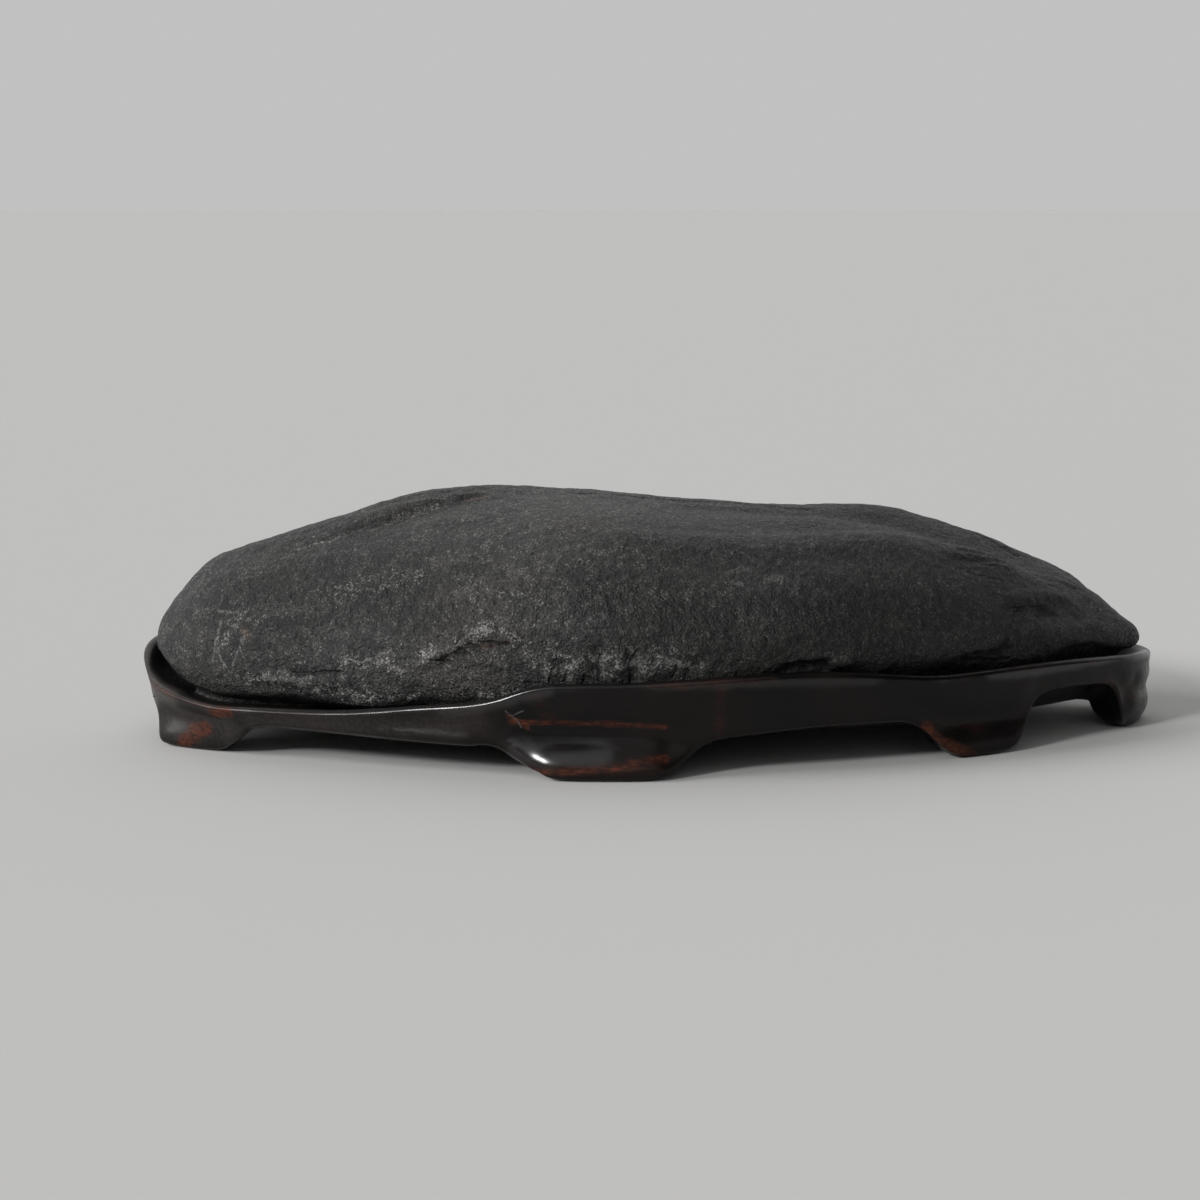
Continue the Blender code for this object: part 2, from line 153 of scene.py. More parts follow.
# Pale and rusty marks: name, attribute, strength, half width, path
MARKS = [
    ("scar", "pale", 1.05, 2.8, [(-62, -58, 30.5), (-54, -60, 34), (-46, -61.5, 39)]),
    ("scar_high", "pale", 0.8, 2.8, [(-46, -61.5, 39), (-37, -63.5, 36.5)]),
    (
        "streak_left", "pale", 0.6, 2.4,
        [(-115, -37, 38), (-118, -35, 33), (-119.5, -33.5, 27), (-118, -34, 24)],
    ),
    ("streak_middle", "pale", 0.45, 2.4, [(-111, -39, 38), (-113, -38, 31), (-114, -37, 24)]),
    ("streak_cross", "pale", 0.5, 2.6, [(-119, -34, 38), (-113, -38, 38.5), (-109, -39, 37)]),
    ("scratch_left", "pale", 0.85, 1.3, [(-84, -50, 27.8), (-78.6, -52.2, 26.8)]),
    ("scratch_right", "pale", 0.7, 1.3, [(-78.6, -52.2, 26.8), (-69.5, -55.5, 30.0)]),
    ("scratch_low", "pale", 0.8, 1.4, [(-71, -55, 26.5), (-67.5, -56.2, 25.4)]),
    ("crack_flake", "pale", 0.8, 3.4, [(-107, -41, 22), (-100, -44.5, 22.3), (-94, -47, 20.8)]),
    ("low_edge_left", "pale", 0.5, 3.2, [(-117, -35, 22), (-108, -40, 20), (-94, -47, 19), (-82, -51, 18.5)]),
    ("low_edge", "pale", 0.5, 2.8, [(-82, -51, 18.5), (-62, -57.5, 18.5), (-46, -61, 20), (-30, -64, 23)]),
    ("left_speckle", "pale", 0.48, 5.0, [(-88, -45, 49), (-76, -48, 51), (-64, -48, 52)]),
    ("shoulder_edge", "pale", 0.5, 3.0, [(-60, -9, 67.5), (-78, -18, 63), (-100, -20, 57)]),
    ("facet_edges", "pale", 0.8, 5.0, [(-30, -66, 29), (-14, -67, 31), (2, -66, 31), (10, -65, 31)]),
    ("flecks_middle", "pale", 1.0, 1.2, [(18, -57.5, 52.0), (23, -57, 51.8)]),
    ("flecks_right", "pale", 0.9, 1.4, [(29.5, -54.5, 50.5), (33, -54, 50.8)]),
    ("fleck_bright", "pale", 1.0, 1.0, [(94.0, -35.5, 32.5), (94.8, -35, 32.4)]),
    ("back_vein", "pale", 0.65, 1.8, [(-66, 54, 40), (-50, 58, 44), (-36, 56, 50), (-24, 52, 54)]),
    ("back_bloom", "pale", 0.5, 4.5, [(18, 60, 42), (34, 56, 46)]),
    (
        "back_low_edge", "pale", 0.5, 3.0,
        [(-90, 48, 19), (-60, 58, 19), (-20, 64, 22), (20, 62, 23), (60, 50, 21)],
    ),
    ("end_bloom", "pale", 0.5, 4.0, [(-138, -2, 26), (-134, 10, 32), (-128, 18, 40)]),
    ("rust_spot", "rust", 0.9, 2.4, [(-111.5, -37.5, 34.2), (-110.8, -38, 33.2)]),
    ("rust_scar", "rust", 0.7, 1.6, [(-46, -62, 34.6), (-41.5, -63.5, 36.0), (-39, -64, 36.4)]),
    ("rust_notch", "rust", 0.7, 2.6, [(-53, -4, 69), (-48, -1, 69.3)]),
    ("rust_back", "rust", 0.7, 3.0, [(-12, 65, 33), (0, 65, 34)]),
]

# ---- the stone's finish ----
STONE_COOL = (0.0150, 0.0165, 0.0165)
STONE_WARM = (0.0260, 0.0238, 0.0220)
DARK_BEDS = (0.0095, 0.0098, 0.0095)
GREY_PATCHES = (0.038, 0.0365, 0.0340)
GREY_FLECKS = (0.086, 0.084, 0.080)
CRUSHED_STONE = (0.150, 0.147, 0.139)
RUST = (0.090, 0.058, 0.041)
WORN_EDGES = (0.085, 0.083, 0.078)
# painted shade, darkening the folds and hollows of the stone
PAINTED_FOLD_SHADE = (0.005, 0.005, 0.005)
SCRATCHED_STONE = (0.120, 0.117, 0.110)
# painted shade inside the open cracks
PAINTED_CRACK_SHADE = (0.004, 0.004, 0.004)
BEDS_DIP = 12.0  # degrees that the layers of the stone are tilted from level
BEDS_STRETCH = (0.3, 0.5, 1)  # the layers run long and deep, and are thin in height
CRYSTAL_SCALE = 2300.0  # per metre, so that a crystal is under half a millimetre
PAINTED_SHADE_TURNS = (-20.0, 60.0)  # painted light and shade across the stone: lighter at its left end, where the light falls, and darkening between these two places towards its right
PAINTED_LIGHT_LEFT = 1.45
PAINTED_SHADE_RIGHT = 0.60
STONE_ROUGH = 0.60
GLINTS_ROUGH = 0.34
STONE_SPECULAR = 0.38
LUMPS_DEPTH = 0.55
GRAIN_DEPTH = 0.21
CRYSTALS_DEPTH = 0.05
CRYSTALS_STRENGTH = 0.8
CRACKS_DEPTH = 0.6

# ---- the stand's surface ----
TOOL_WAVES = 0.16  # height of the waves that the carving left
WAVE_SIZE = 9.0
FOOT_SOLE = 1.0  # the soles are left flat below this height
FOOT_FREE = 3.0  # and the surface is fully worked above this one
CARVED = 0.3  # how ragged the edges of its carving and worn places are

# Broad changes to its form: name, height (negative is drawn in), half width, path
SWELLINGS = [
    ("left_lip_inside", 1.8, 6.0, [(-140, -2, 18), (-137, -14, 16), (-131, -24, 14)]),
    ("left_lip_pull", -1.4, 6.0, [(-146, -6, 19), (-143, -16, 18)]),
    ("left_lip_rise", 1.3, 5.0, [(-144, -4, 24), (-141, 8, 24), (-137, 18, 24)]),
    ("right_tip_bulge", 1.7, 8.0, [(142, -2, 8), (144, 8, 8), (142, 20, 8)]),
    ("right_tip_waist", 0.8, 4.0, [(142, 0, 14), (144, 10, 14)]),
    ("left_edge_roll", 0.8, 4.5, [(-108, -44.5, 9.5), (-90, -52, 9.5), (-70, -59, 9.5), (-50, -64.5, 9)]),
    ("front_toe_roll", 1.4, 6.0, [(-37, -68, 8.5), (-26, -70.5, 8), (-12, -71, 9), (-2, -69.5, 10)]),
    ("back_toe_roll", 1.4, 6.0, [(-32, 68, 8.5), (-20, 70.5, 8), (-8, 71, 9), (2, 69.5, 10)]),
]

# Carving on it: name, height (negative is cut in), half width, path
CARVING = [
    ("front_crease", -0.5, 1.8, [(-38, -67.8, 15), (-25.5, -69.7, 14.8), (-12.4, -70.4, 15), (2, -69.3, 14)]),
    ("front_toe_cut", -0.5, 1.5, [(-31, -71, 2.6), (-22, -73, 3.0), (-10, -73.5, 4.0), (2, -70.5, 5.8)]),
    ("right_crease", -0.3, 1.8, [(70, -50, 14.5), (77.6, -47.2, 16.5), (90.7, -40.4, 16.9), (100, -35, 16)]),
    ("right_toe_cut", -0.5, 1.8, [(92, -38, 2), (94.5, -36, 6), (96, -35.2, 9.5)]),
    ("back_crease", -0.5, 1.8, [(-34, 68, 15), (-22, 69.5, 14.8), (-8, 70, 15), (4, 69, 14)]),
    ("back_right_crease", -0.4, 1.8, [(62, 53, 15), (74, 48, 16), (86, 43, 16.5)]),
    ("back_left_crease", -0.4, 1.8, [(-100, 48, 13), (-90, 53, 13.5), (-80, 57, 14)]),
]

# Places rubbed soft: name, times smoothed, half width, path
SOFTENED = [
    ("left_foot", 80, 17.0, [(-142, 0, 9), (-138, -14, 9), (-131, -25, 8), (-122, -34, 8)]),
    ("left_lip", 40, 14.0, [(-140, 22, 20), (-144, 8, 20), (-145, -6, 20), (-141, -20, 19), (-130, -33, 16)]),
    ("front_toe", 34, 12.0, [(-37, -68, 10), (-20, -70, 11), (5, -68, 12)]),
    ("front_right_foot", 40, 12.0, [(72, -48, 9), (90, -39, 9), (102, -32, 10)]),
    ("back_toe", 34, 12.0, [(-34, 67, 10), (-16, 70, 11), (6, 68, 12)]),
    ("right_tip_foot", 8, 10.0, [(141, -4, 9), (144, 8, 8), (141, 20, 8)]),
]

# Places rubbed through to the wood: name, strength, half width, path
RUBS = [
    ("left_rim", 0.5, 1.5, [(-141, -21, 18), (-135.6, -27.4, 15.6), (-127.7, -34.1, 14), (-120, -39, 13.8)]),
    ("left_patch", 1.1, 3.2, [(-121, -38.3, 12), (-116.3, -41, 12.3)]),
    ("left_foot_patch", 1.1, 3.8, [(-130, -26, 1.5), (-127, -29.5, 4), (-123, -33.2, 6.6)]),
    (
        "front_crease", 0.75, 1.4,
        [(-38.6, -67.7, 15.0), (-25.5, -69.7, 14.9), (-12.4, -70.4, 15), (2, -69.3, 14)],
    ),
    ("front_scratch", 0.8, 1.3, [(-39, -68, 16.4), (-36, -68.2, 15), (-33.9, -68.2, 13.5)]),
    ("front_smear", 0.30, 6.0, [(-33, -69.8, 23), (-28.1, -70, 17.3)]),
    ("front_toe", 0.75, 1.9, [(-32, -71, 2.4), (-22, -73, 2.8), (-10, -73.5, 3.8), (2, -70.5, 5.6)]),
    ("front_toe_tint", 0.32, 5.0, [(-34, -70, 3), (-20, -73, 3), (0, -71, 4)]),
    ("middle_rim", 0.36, 2.8, [(-2, -71, 24.9), (15, -68.5, 25.5), (32.4, -64.3, 25)]),
    ("middle_smear", 0.35, 3.8, [(16.4, -68, 23.6), (16.5, -67.4, 18), (16.5, -67, 12.2)]),
    ("right_foot_patch", 0.8, 3.8, [(72.8, -47.8, 8.9), (78.5, -46.3, 4.5), (85.9, -42, 0.8)]),
    ("right_foot_smear", 0.26, 5.0, [(78, -46, 10), (90, -40, 8)]),
    ("right_rim", 0.32, 1.6, [(105.4, -31.3, 21.9), (122.2, -18.6, 22.5), (139.9, -0.3, 21.4)]),
    ("right_patch", 0.32, 6.5, [(128, -13, 14), (135, -5, 12), (141, 5, 10)]),
    ("back_crease", 0.9, 1.4, [(-34, 68, 15), (-22, 69.5, 14.8), (-8, 70, 15), (4, 69, 14)]),
    ("back_toe", 0.85, 1.8, [(-30, 70, 2.8), (-18, 73, 3), (-6, 73.5, 3.6), (6, 71, 5)]),
    ("back_rim", 0.5, 2.2, [(-60, 66, 22), (-40, 70, 23.5), (-12, 71, 24.5), (20, 68, 25)]),
    ("back_right_patch", 0.9, 3.6, [(70, 49, 5), (80, 46, 9)]),
    ("back_left_patch", 0.8, 3.6, [(-98, 50, 5), (-92, 53, 9)]),
    ("left_end_rim", 0.5, 1.8, [(-144, -8, 18), (-145, 5, 18), (-141, 20, 18)]),
    ("right_end_rim", 0.5, 1.8, [(145, 8, 21), (143, 22, 21), (134, 34, 21)]),
]

# Places painted a dusty grey, as dust at the back and as painted sheen on the left lip, foot and apron: name,
# strength, half width, path
SHEEN_AND_DUST_PLACES = [
    # painted sheen where the light falls on the left lip, foot and apron
    ("left_lip", 1.0, 7.0, [(-142, 10, 21), (-145, -6, 20), (-142, -18, 18), (-136, -28, 14)]),
    ("left_foot", 0.28, 10.0, [(-134, -20, 6), (-126, -31, 8), (-118, -38, 7)]),
    ("left_apron", 0.22, 6.0, [(-112, -43, 12), (-90, -52, 11), (-66, -61, 12), (-48, -66, 15)]),
    # dust at the back
    ("back_left", 0.3, 8.0, [(-112, 42, 12), (-90, 53, 12), (-70, 61, 13)]),
    ("back_right", 0.24, 8.0, [(40, 64, 14), (70, 52, 14), (100, 38, 15)]),
]

# Places polished by handling: name, strength, half width, path
POLISHED = [
    ("front_toe", 1.0, 6.0, [(-36, -68.5, 7), (-30, -71, 6), (-15, -71.5, 7)]),
    (
        "front_rim", 0.6, 2.4,
        [(-140, -21, 18), (-120, -39, 14), (-90, -53, 15), (-60, -63, 18), (-28, -70, 24.5)],
    ),
    ("middle_rim", 0.5, 2.4, [(-28, -70, 24.5), (2, -70, 25), (32, -64, 25), (77, -47, 23)]),
    (
        "right_rim", 0.7, 2.6,
        [(77, -47, 23), (105, -31, 22), (122, -18.6, 22.5), (140, -0.3, 21.4), (146, 10, 22)],
    ),
    ("rim_crest", 1.0, 4.5, [(-56, -64, 19), (-46, -67, 21), (-37, -69, 23), (-29, -70, 24.5)]),
    ("back_toe", 0.35, 7.0, [(-30, 69, 7), (-15, 71.5, 7), (0, 70, 7)]),
]

# ---- the stand's finish ----
LACQUER_BLACK = (0.0032, 0.0030, 0.0030)
LACQUER_BROWN = (0.0075, 0.0052, 0.0046)
WOOD_DARK = (0.026, 0.0085, 0.0055)
WOOD_RED = (0.090, 0.026, 0.0135)
# grey of dust, also used as a painted sheen on the left lip, foot and apron
SHEEN_AND_DUST_GREY = (0.072, 0.063, 0.058)
SCRATCHED_LACQUER = (0.11, 0.10, 0.095)
PAINTED_RIM_SHADE = (0.0015, 0.0013, 0.0012)  # painted shade inside the rim, on the walls that face the middle of the stand
GRAIN_STRETCH = (0.3, 1, 1)  # the wood grain runs along the stand
LACQUER_ROUGH = (0.24, 0.36)
MATTE_ROUGHER = 0.16  # worn places, and those painted with dust and sheen, are rougher by this much
LACQUER_SPECULAR = 0.14
COAT_ROUGH = 0.21
COAT_LEAST = 0.08  # share of the gloss coat left where the lacquer isn't polished
COAT_BARE = 0.2  # and of that on bare wood, under the painted dust and sheen, and inside the rim
WAVES_DEPTH = 0.08
BRUSHED_DEPTH = 0.025

# ---- fine lines on the fronts of both pieces, seen straight on ----
STONE_CRACK_WAVER = 2.0  # how far a line strays from its straight run
STONE_SCRATCH_WAVER = 2.4
STAND_SCRATCH_WAVER = 0.5
WAVER_SCALE = 260.0  # per metre, so that a line turns every few millimetres
LINES_FRONT = -6.0  # lines are whole in front of this depth, and fade out towards the middle

# Half width, start and end as (x, z)
STONE_CRACKS = [
    (0.6, (-59.8, 30.2), (-56.4, 30.4)),
    (0.7, (-55.8, 31.4), (-51.4, 33.4)),
    (0.5, (-53.2, 34.8), (-50.6, 37.2)),
    (0.6, (-49.6, 35.0), (-47.0, 34.2)),
    (0.6, (-46.8, 35.8), (-39.6, 35.4)),
    (0.7, (-98.5, 23.6), (-85.0, 25.4)),
    (0.5, (-28.2, 25.0), (-27.6, 28.6)),
    (0.5, (-24.6, 25.0), (-23.4, 28.6)),
    (0.6, (-19.4, 25.0), (-19.0, 27.4)),
    (0.55, (-15.2, 25.0), (-15.9, 29.0)),
    (0.5, (-15.9, 29.0), (-14.6, 32.6)),
    (0.6, (-6.7, 25.5), (-7.1, 30.4)),
    (0.5, (-7.1, 31.0), (-5.6, 34.0)),
    (0.5, (4.0, 26.5), (5.0, 29.6)),
    (1.0, (34.5, 28.6), (46.0, 29.6)),
    (1.0, (84.0, 26.2), (97.0, 25.4)),
    (0.5, (85.3, 52.4), (98.8, 48.6)),
    (0.5, (86.0, 49.2), (96.8, 46.0)),
    (0.6, (112.0, 42.4), (119.5, 40.2)),
    (0.8, (99.0, 38.6), (113.0, 37.4)),
]
STONE_SCRATCHES = [
    (0.6, (-84.6, 29.4), (-79.1, 28.1)),
    (0.5, (-79.1, 28.1), (-70.6, 31.9)),
    (0.8, (-70.8, 27.6), (-68.0, 26.2)),
    (0.7, (-119.4, 35.5), (-121.6, 25.0)),
    (0.5, (-111.8, 34.5), (-116.0, 24.0)),
    (0.6, (-119.5, 38.6), (-114.0, 38.8)),
    (0.8, (-60.6, 31.2), (-52.6, 34.8)),
    (0.8, (-52.6, 34.8), (-46.0, 40.5)),
    (0.9, (-106.0, 22.6), (-93.0, 21.6)),
    (0.6, (-29.4, 26.0), (-29.0, 30.5)),
    (0.6, (-13.8, 26.5), (-14.6, 32.0)),
    (0.5, (-4.9, 27.0), (-4.6, 31.5)),
    (0.9, (17.6, 52.0), (24.0, 53.4)),
    (1.0, (28.8, 50.6), (33.4, 51.2)),
    (0.6, (94.2, 32.6), (95.0, 31.8)),
    (0.9, (47.6, 29.2), (51.0, 31.0)),
]
STAND_SCRATCHES = [
    (0.30, (-39.8, 18.0), (-36.4, 15.2)),
    (0.25, (-38.2, 16.6), (-35.2, 18.2)),
    (0.22, (-36.8, 15.6), (-35.6, 13.6)),
]


# ---- working on a piece ----
def only(piece):
    bpy.ops.object.select_all(action="DESELECT")
    piece.select_set(True)
    bpy.context.view_layer.objects.active = piece


def finish_modifier(piece, kind, **settings):
    only(piece)
    modifier = piece.modifiers.new(kind.lower(), kind)
    for name, value in settings.items():
        setattr(modifier, name, value)
    bpy.ops.object.modifier_apply(modifier=modifier.name)


def merged_copy(node, name):
    """A new piece on the merged mesh of a solid, in fine four-sided faces."""
    piece = bpy.data.objects.new(name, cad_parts[node].data.copy())
    piece.data.materials.clear()
    bpy.context.scene.collection.objects.link(piece)
    only(piece)
    bpy.ops.object.mode_set(mode="EDIT")
    bpy.ops.mesh.select_all(action="SELECT")
    bpy.ops.mesh.remove_doubles(threshold=MERGE_WITHIN * MM)
    bpy.ops.mesh.tris_convert_to_quads(face_threshold=QUADS_ANGLE, shape_threshold=QUADS_ANGLE)
    bpy.ops.object.mode_set(mode="OBJECT")
    finish_modifier(piece, "SMOOTH", factor=UNSMOOTH, iterations=1)
    finish_modifier(piece, "SUBSURF", levels=SUBDIVIDED, render_levels=SUBDIVIDED)
    return piece


def points_of(piece):
    """Corners of a piece in millimetres."""
    flat = np.empty(len(piece.data.vertices) * 3)
    piece.data.vertices.foreach_get("co", flat)
    return flat.reshape(-1, 3) / MM


def normals_of(piece):
    flat = np.empty(len(piece.data.vertices) * 3)
    piece.data.vertices.foreach_get("normal", flat)
    return flat.reshape(-1, 3)


def smooth_step(values, low, high):
    share = np.clip((values - low) / (high - low), 0, 1)
    return share * share * (3 - 2 * share)


def laid_on(piece, path):
    """The path as close points on the surface of a piece."""
    close = []
    for start, end in zip(path[:-1], path[1:]):
        count = max(int(math.dist(start, end) / PATH_STEP), 1)
        close += [Vector(start).lerp(Vector(end), i / count) for i in range(count)]
    close.append(Vector(path[-1]))
    return [np.array(piece.closest_point_on_mesh(point * MM)[1]) / MM for point in close]


def unevenness(points):
    """Cloudy number at each point, between about -1 and 1."""
    coarse, fine = ([noise.noise(Vector(point) / size) for point in points] for size in RAGGED_SIZES)
    return np.array(coarse) + RAGGED_FINE_SHARE * np.array(fine)


def along(piece, path, half_width, ragged):
    """1 on a path laid on the surface of a piece, and 0 past its half width. Its edge can be ragged."""
    points = points_of(piece)
    close = laid_on(piece, path)
    nearest = np.full(len(points), np.inf)
    for start, end in zip(close[:-1], close[1:]):
        run = end - start
        share = np.clip((points - start) @ run / max(run @ run, 1e-9), 0, 1)
        gap = np.linalg.norm(points - start - share[:, None] * run, axis=1)
        nearest = np.minimum(nearest, gap)
    reached = np.flatnonzero(nearest < PATH_REACH * half_width)
    share = np.zeros(len(points))
    gap = nearest[reached] * (1 + ragged * unevenness(points[reached]))
    share[reached] = 1 - smooth_step(gap, PATH_CORE * half_width, half_width)
    return share


def bulge_of(piece):
    """How sharply the surface bends at each corner, per millimetre: positive on edges, negative in folds."""
    points = points_of(piece)
    normals = normals_of(piece)
    pairs = np.empty(len(piece.data.edges) * 2, int)
    piece.data.edges.foreach_get("vertices", pairs)
    a, b = pairs.reshape(-1, 2).T
    gap = points[b] - points[a]
    bend = ((normals[b] - normals[a]) * gap).sum(1) / np.maximum((gap * gap).sum(1), 1e-6)
    total = np.bincount(a, bend, len(points)) + np.bincount(b, bend, len(points))
    count = np.bincount(a, minlength=len(points)) + np.bincount(b, minlength=len(points))
    return total / np.maximum(count, 1)


def inside_of(piece):
    """1 where a wall faces the middle of a piece, seen from above, and 0 where it faces up or outwards."""
    outwards = points_of(piece)[:, :2]
    outwards /= np.maximum(np.linalg.norm(outwards, axis=1), 1)[:, None]
    return smooth_step(-(normals_of(piece)[:, :2] * outwards).sum(1), *FACING_INSIDE)


def weigh(piece, name, weights):
    group = piece.vertex_groups.new(name=name)
    for index in np.flatnonzero(weights > LEAST_WEIGHT):
        group.add([int(index)], float(weights[index]), "REPLACE")


def soften(piece, name, times, weights):
    """Smooths the weighted part of a piece a number of times."""
    weigh(piece, name, weights)
    finish_modifier(piece, "SMOOTH", factor=SMOOTH_FACTOR, iterations=times, vertex_group=name)
    piece.vertex_groups.remove(piece.vertex_groups[name])


def push(piece, name, height, weights, pattern=None):
    """Moves the weighted part of a piece along its normals, by a pattern where one is given."""
    weigh(piece, name, weights)
    finish_modifier(
        piece,
        "DISPLACE",
        texture=pattern,
        texture_coords="LOCAL",
        mid_level=0.5 if pattern else 0.0,
        strength=height * MM,
        vertex_group=name,
    )
    piece.vertex_groups.remove(piece.vertex_groups[name])


def pattern_of(name, kind, size):
    pattern = bpy.data.textures.new(name, kind)
    pattern.noise_scale = size * MM
    return pattern


def paint(piece, name, values):
    """Stores a number per corner, for the finish to read."""
    layer = piece.data.attributes.get(name) or piece.data.attributes.new(name, "FLOAT", "POINT")
    layer.data.foreach_set("value", np.asarray(values, np.float32))


def strongest(piece, marks, ragged):
    """At each corner, the strongest of the marks (strength, half width, path) laid on a piece."""
    laid = [strength * along(piece, path, half_width, ragged) for strength, half_width, path in marks]
    return np.max(laid, axis=0)


# ---- the stone ----
def build_stone():
    stone = merged_copy("stone", "river_stone")
    stone.data.remesh_voxel_size = STONE_MESH * MM
    only(stone)
    bpy.ops.object.voxel_remesh()
    finish_modifier(stone, "SMOOTH", factor=SMOOTH_FACTOR, iterations=STONE_MESH_SMOOTHED)

    free = smooth_step(points_of(stone)[:, 2], BASE_TOP, FREE_HEIGHT)
    for name, kind, size, height in WEATHERING:
        push(stone, name, height, free, pattern_of(name, kind, size))
    for name, height, half_width, path in FULLNESS:
        push(stone, name, height, along(stone, path, half_width, 0) * free)
    for name, height, half_width, path in RELIEF:
        push(stone, name, height, along(stone, path, half_width, CHIPPED) * free)

    paint(stone, "bulge", np.clip(bulge_of(stone) * STONE_EDGE_CONTRAST, -1, 1))
    for layer in ("pale", "rust"):
        marks = [row[2:] for row in MARKS if row[1] == layer]
        paint(stone, layer, strongest(stone, marks, CHIPPED))
    stone.data.shade_smooth()
    return stone


# ---- the stand ----
def build_stand():
    stand = merged_copy("stand", "lacquered_stand")
    raised = smooth_step(points_of(stand)[:, 2], FOOT_SOLE, FOOT_FREE)
    push(stand, "tool_waves", TOOL_WAVES, raised, pattern_of("tool_waves", "CLOUDS", WAVE_SIZE))
    for name, height, half_width, path in SWELLINGS:
        push(stand, name, height, along(stand, path, half_width, 0) * raised)
    for name, height, half_width, path in CARVING:
        push(stand, name, height, along(stand, path, half_width, CARVED) * raised)
    for name, times, half_width, path in SOFTENED:
        soften(stand, name, times, along(stand, path, half_width, 0) * raised)

    paint(stand, "bulge", np.clip(bulge_of(stand), -1, 1))
    paint(stand, "inside", inside_of(stand))
    for layer, places in (("rubbed", RUBS), ("sheen_and_dust", SHEEN_AND_DUST_PLACES), ("polished", POLISHED)):
        paint(stand, layer, strongest(stand, [row[1:] for row in places], CARVED))
    stand.data.shade_smooth()
    return stand


# ---- finishes ----
def place(tree, kind, inputs=None, **settings):
    """A node with its settings, and its inputs given as numbers or as other nodes' outputs."""
    made = tree.nodes.new("ShaderNode" + kind)
    for name, value in settings.items():
        setattr(made, name, value)
    for key, value in (inputs or {}).items():
        if isinstance(value, bpy.types.NodeSocket):
            tree.links.new(value, made.inputs[key])
        else:
            made.inputs[key].default_value = value
    return made


def blended(tree, share, first, second, mode="MIX"):
    """First colour turning into the second as the share goes from 0 to 1."""
    mix = place(tree, "Mix", {"Factor": share}, data_type="RGBA", blend_type=mode)
    for key, colour in ((6, first), (7, second)):
        if isinstance(colour, bpy.types.NodeSocket):
            tree.links.new(colour, mix.inputs[key])
        else:
            mix.inputs[key].default_value = (*colour, 1.0)
    return mix.outputs[2]


def ranged(tree, value, low, high, to_low=0.0, to_high=1.0):
    made = place(
        tree,
        "MapRange",
        {"Value": value, "From Min": low, "From Max": high, "To Min": to_low, "To Max": to_high},
        interpolation_type="SMOOTHSTEP",
    )
    return made.outputs["Result"]


def maths(tree, operation, first, second):
    return place(tree, "Math", {0: first, 1: second}, operation=operation).outputs[0]


def bumped(tree, height, depth, below=None, strength=1.0):
    """Normals roughened by a height from 0 to 1, to a depth in millimetres, on top of the normals below."""
    inputs = {"Strength": strength, "Distance": depth * MM, "Height": height}
    if below is not None:
        inputs["Normal"] = below
    return place(tree, "Bump", inputs).outputs[0]


def new_group(name, inputs, outputs):
    group = bpy.data.node_groups.new(name, "ShaderNodeTree")
    for title, kind in inputs:
        group.interface.new_socket(title, in_out="INPUT", socket_type=kind)
    for title, kind in outputs:
        group.interface.new_socket(title, in_out="OUTPUT", socket_type=kind)
    entry = group.nodes.new("NodeGroupInput")
    leave = group.nodes.new("NodeGroupOutput")
    return group, entry, leave


def mottle_group():
    """Cloudy value from 0 to 1 with features of a given size in millimetres."""
    group, entry, leave = new_group(
        "mottle",
        [("Coordinates", "NodeSocketVector"), ("Size", "NodeSocketFloat"), ("Detail", "NodeSocketFloat")],
        [("Value", "NodeSocketFloat")],
    )
    scale = maths(group, "DIVIDE", 1 / MM, entry.outputs["Size"])
    cloud = place(
        group,
        "TexNoise",
        {"Vector": entry.outputs["Coordinates"], "Scale": scale, "Detail": entry.outputs["Detail"]},
    )
    group.links.new(ranged(group, cloud.outputs[0], 0.3, 0.7), leave.inputs["Value"])
    return group


def wear_group():
    """Where a worn place shows: its strength, broken up by a fine pattern, so that weak wear stays thin."""
    group, entry, leave = new_group(
        "frayed_wear",
        [("Coordinates", "NodeSocketVector"), ("Strength", "NodeSocketFloat"), ("Size", "NodeSocketFloat")],
        [("Mask", "NodeSocketFloat")],
    )
    scale = maths(group, "DIVIDE", 1 / MM, entry.outputs["Size"])
    fray = place(
        group,
        "TexNoise",
        {"Vector": entry.outputs["Coordinates"], "Scale": scale, "Detail": 6.0, "Roughness": 0.7},
    )
    patchy = ranged(group, fray.outputs[0], 0.3, 0.7, 0.6, 1.35)
    torn = maths(group, "MULTIPLY", entry.outputs["Strength"], patchy)
    group.links.new(ranged(group, torn, 0.12, 1.0), leave.inputs["Mask"])
    return group


